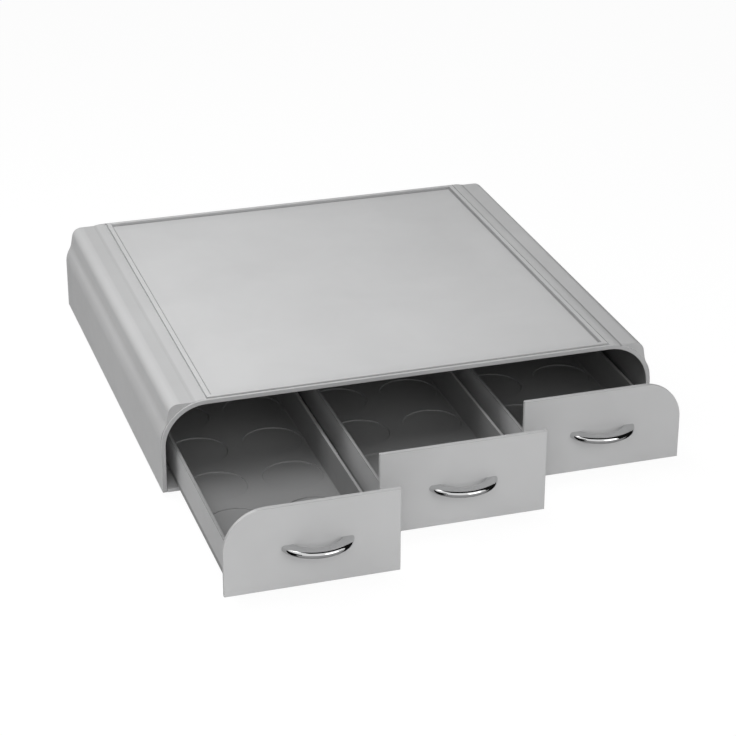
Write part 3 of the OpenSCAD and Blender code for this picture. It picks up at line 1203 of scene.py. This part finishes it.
@dataclass
class Drawer:
    """One drawer: its tray, front panel, bow handle and handle screws.

    The tray's lower edges come rounded by low_edge and keep low_edge_share of it.
    """

    bay: Bay
    tray_edge: float = 0.35
    low_edge: float = 2.4
    low_edge_share: float = 0.15

    def _tighten_low_edge(self, piece: bpy.types.Object, side: int) -> None:
        """Makes the rounding along one of the tray's lower edges smaller.

        Args:
            piece: the tray.
            side: -1 for the left edge, 1 for the right one.
        """
        low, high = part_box(f"tray_{self.bay.label}")
        edge = self.low_edge * MM
        x = high.x if side > 0 else low.x
        pick(
            piece,
            Part.VERTS,
            lambda c: (x - c.x) * side < edge + NEAR
            and c.z - low.z < edge + NEAR
            and math.hypot(c.x - x + side * edge, c.z - low.z - edge) > edge - NEAR,
        )
        bpy.ops.transform.resize(
            value=(self.low_edge_share, 1, self.low_edge_share), center_override=(x, 0, low.z)
        )
        bpy.ops.object.mode_set(mode="OBJECT")

    def tray(self) -> bpy.types.Object:
        """Makes the tray with softened edges.

        Returns:
            The finished piece.
        """
        piece = merged_copy(f"tray_{self.bay.label}", f"pod_tray_{self.bay.label}")
        for side in (-1, 1):
            self._tighten_low_edge(piece, side)
        soften(piece, self.tray_edge)
        smooth(piece)
        dress(piece, TRAY_PLASTIC.material())
        return piece

    def build(self, handle: bpy.types.Object) -> None:
        """Makes the drawer's pieces and rides them on its body.

        Args:
            handle: the handle to copy.
        """
        label, body = self.bay.label, self.bay.body
        hand_over(self.tray(), body, f"tray_{label}")
        front = FrontPanel().model(self.bay)
        dress(front, FRONT_PLASTIC.material())
        hand_over(front, body, f"front_{label}")
        low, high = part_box(f"handle_{label}")
        bow = new_object(f"bow_handle_{label}", handle.data.copy())
        bow.data.transform(
            Matrix.Translation(((low.x + high.x) / 2, high.y, (low.z + high.z) / 2))
        )
        dress(bow, HANDLE_CHROME.material())
        hand_over(bow, body, f"handle_{label}")
        dress_nodes(SCREW_ZINC.material(), f"handle_screws_{label}")


# ---------------------------------------------------------------- the studio


def turn_to(place: Point, target: Point) -> Euler:
    """The turn that points a lamp or a card at its target."""
    return (Vector(target) - Vector(place)).to_track_quat("-Z", "Y").to_euler()


@dataclass(frozen=True)
class Softbox:
    """A large soft lamp."""

    name: str
    place: Point
    target: Point
    size: float
    power: float
    mirrored: bool = True

    def light(self) -> None:
        """Hangs the lamp and points it at its target."""
        data = bpy.data.lights.new(self.name, "AREA")
        data.shape = "SQUARE"
        data.size = self.size
        data.energy = self.power
        lamp = new_object(self.name, data)
        lamp.location = self.place
        lamp.rotation_euler = turn_to(self.place, self.target)
        lamp.visible_glossy = self.mirrored


@dataclass(frozen=True)
class Flag:
    """A dark card that only mirror-like surfaces see, as in any studio that shoots chrome."""

    name: str
    place: Point
    target: Point
    width: float
    height: float
    shade: float = 0.01

    def hang(self) -> None:
        """Hangs the card and turns it to its target."""
        deselect_all()
        bpy.ops.mesh.primitive_plane_add(size=1)
        card = bpy.context.object
        card.name = self.name
        card.rotation_euler = turn_to(self.place, self.target)
        card.location = self.place
        card.scale = (self.width, self.height, 1)
        settle(card)
        for ray in ("camera", "diffuse", "shadow", "transmission", "volume_scatter"):
            setattr(card, f"visible_{ray}", False)
        material = bpy.data.materials.new(self.name)
        material.use_nodes = True
        shader = material.node_tree.nodes["Principled BSDF"]
        shader.inputs["Base Color"].default_value = (self.shade, self.shade, self.shade, 1.0)
        shader.inputs["Roughness"].default_value = 1.0
        shader.inputs["Specular IOR Level"].default_value = 0.0
        dress(card, material)


@dataclass
class Studio:
    """The floor, the lamps, the cards, the world and the camera."""

    eye: Point = (-0.44156, -1.44394, 0.71219)
    azimuth: float = -17.71
    elevation: float = 25.30
    roll: float = 0.16
    focal_px: float = 2298.7
    frame_px: float = 736.0
    sensor: float = 36.0
    floor_size: float = 30.0
    floor_colour: Colour = (0.80, 0.80, 0.80)
    white_share: float = 0.9
    white_strength: float = 1.06
    mirrored_colour: Colour = (0.45, 0.45, 0.45)
    sky: float = 0.1
    lamps: tuple[Softbox, ...] = (
        Softbox("top_softbox", (-0.20, -0.15, 0.65), (-0.1, 0, 0.05), 0.5, 1.64, False),
        Softbox("left_softbox", (-0.50, 0.05, 0.75), (-0.05, 0, 0.05), 0.5, 2.02),
        Softbox("front_softbox", (-0.30, -1.30, 0.60), (0, -0.2, 0.03), 1.2, 6.50, False),
        Softbox("right_softbox", (0.50, -1.20, 0.45), (0, -0.2, 0.03), 0.7, 2.52),
        Softbox("back_softbox", (-0.15, 0.30, 0.85), (-0.05, 0, 0.05), 0.6, 0.73),
    )
    flags: tuple[Flag, ...] = (
        Flag("ceiling_card", (0.60, 0.035, 0.60), (0.60, 0.035, 0), 1.70, 1.13),
        Flag("left_card", (-0.25, -0.175, 0.042), (0, -0.175, 0.042), 0.55, 0.08),
        Flag("right_card", (0.35, -0.085, 0.30), (0, -0.085, 0.30), 0.77, 0.60),
    )
    card_aside: float = 36.0
    card_length: float = 20.0
    card_foot: float = 4.0
    card_top: float = 39.0
    card_gap: float = 1.0

    def cards_beside(self, bay: Bay) -> list[Flag]:
        """Places a small card to the left and right of a drawer's handle.

        Args:
            bay: the drawer.

        Returns:
            The two cards.
        """
        low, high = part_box(f"handle_{bay.label}")
        x = (low.x + high.x) / 2
        y = high.y - (self.card_length / 2 + self.card_gap) * MM
        z = (self.card_foot + self.card_top) / 2 * MM
        return [
            Flag(
                f"{bay.label}_handle_card_{name}",
                (x + side * self.card_aside * MM, y, z),
                (x, y, z),
                self.card_length * MM,
                (self.card_top - self.card_foot) * MM,
            )
            for name, side in (("left", -1), ("right", 1))
        ]

    def floor(self) -> None:
        """Lays a plain pale floor under the feet, which shows white and keeps a faint shadow."""
        deselect_all()
        bpy.ops.mesh.primitive_plane_add(size=self.floor_size)
        floor = bpy.context.object
        floor.name = "studio_floor"
        material, nodes = blank_material("studio_floor")
        out = nodes.add("ShaderNodeOutputMaterial")
        lit = nodes.add("ShaderNodeBsdfDiffuse")
        tone = nodes.add("ShaderNodeMix", data_type="RGBA")
        tone.inputs["A"].default_value = (*self.floor_colour, 1.0)
        tone.inputs["B"].default_value = (*self.mirrored_colour, 1.0)
        white = nodes.add("ShaderNodeEmission", Strength=self.white_strength)
        path = nodes.add("ShaderNodeLightPath")
        share = nodes.maths("MULTIPLY", path.outputs["Is Camera Ray"], self.white_share)
        mix = nodes.add("ShaderNodeMixShader")
        nodes.join(path.outputs["Is Glossy Ray"], tone.inputs["Factor"])
        nodes.join(tone.outputs["Result"], lit.inputs["Color"])
        nodes.join(share, mix.inputs["Fac"])
        nodes.join(lit.outputs["BSDF"], mix.inputs[1])
        nodes.join(white.outputs["Emission"], mix.inputs[2])
        nodes.join(mix.outputs["Shader"], out.inputs["Surface"])
        dress(floor, material)

    def world(self) -> None:
        """Fills the room with even light and shows it white."""
        world = bpy.context.scene.world or bpy.data.worlds.new("studio")
        bpy.context.scene.world = world
        world.use_nodes = True
        world.node_tree.nodes.clear()
        nodes = Nodes(world.node_tree)
        out = nodes.add("ShaderNodeOutputWorld")
        path = nodes.add("ShaderNodeLightPath")
        seen = nodes.maths(
            "MAXIMUM", path.outputs["Is Camera Ray"], path.outputs["Is Glossy Ray"]
        )
        white = nodes.add("ShaderNodeBackground", Color=WHITE, Strength=1.0)
        room = nodes.add("ShaderNodeBackground", Color=WHITE, Strength=self.sky)
        mix = nodes.add("ShaderNodeMixShader")
        nodes.join(seen, mix.inputs["Fac"])
        nodes.join(room.outputs["Background"], mix.inputs[1])
        nodes.join(white.outputs["Background"], mix.inputs[2])
        nodes.join(mix.outputs["Shader"], out.inputs["Surface"])

    def camera(self) -> None:
        """Sets the camera up in front of the unit and a little to its left."""
        a, e, r = (math.radians(x) for x in (self.azimuth, self.elevation, self.roll))
        back = Vector((math.sin(a) * math.cos(e), -math.cos(a) * math.cos(e), math.sin(e)))
        right = (-back).cross(Vector((0, 0, 1))).normalized()
        up = right.cross(-back)
        side = math.cos(r) * right + math.sin(r) * up
        lift = -math.sin(r) * right + math.cos(r) * up
        data = bpy.data.cameras.new("camera")
        data.sensor_fit = "HORIZONTAL"
        data.sensor_width = self.sensor
        data.lens = self.focal_px / self.frame_px * self.sensor
        camera = new_object("camera", data)
        turn = Matrix((side, lift, back)).transposed().to_4x4()
        camera.matrix_world = Matrix.Translation(Vector(self.eye)) @ turn
        bpy.context.scene.camera = camera

    def build(self) -> None:
        """Sets the whole studio up."""
        self.floor()
        self.world()
        for lamp in self.lamps:
            lamp.light()
        for flag in (*self.flags, *(card for bay in Bay for card in self.cards_beside(bay))):
            flag.hang()
        self.camera()
        bpy.context.scene.view_settings.view_transform = "Standard"
        LOG.info("studio: floor, %d lamp(s), camera", len(self.lamps))


def main() -> None:
    """Builds the unit and its studio."""
    logging.basicConfig(level=logging.INFO, format="%(name)s: %(message)s")
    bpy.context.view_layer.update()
    Studio().build()
    Housing().build()
    RubberFoot().build()
    handle = BowHandle().model()
    for bay in Bay:
        Drawer(bay).build(handle)
    bpy.data.objects.remove(handle)
    deselect_all()


if __name__ == "__main__":
    main()
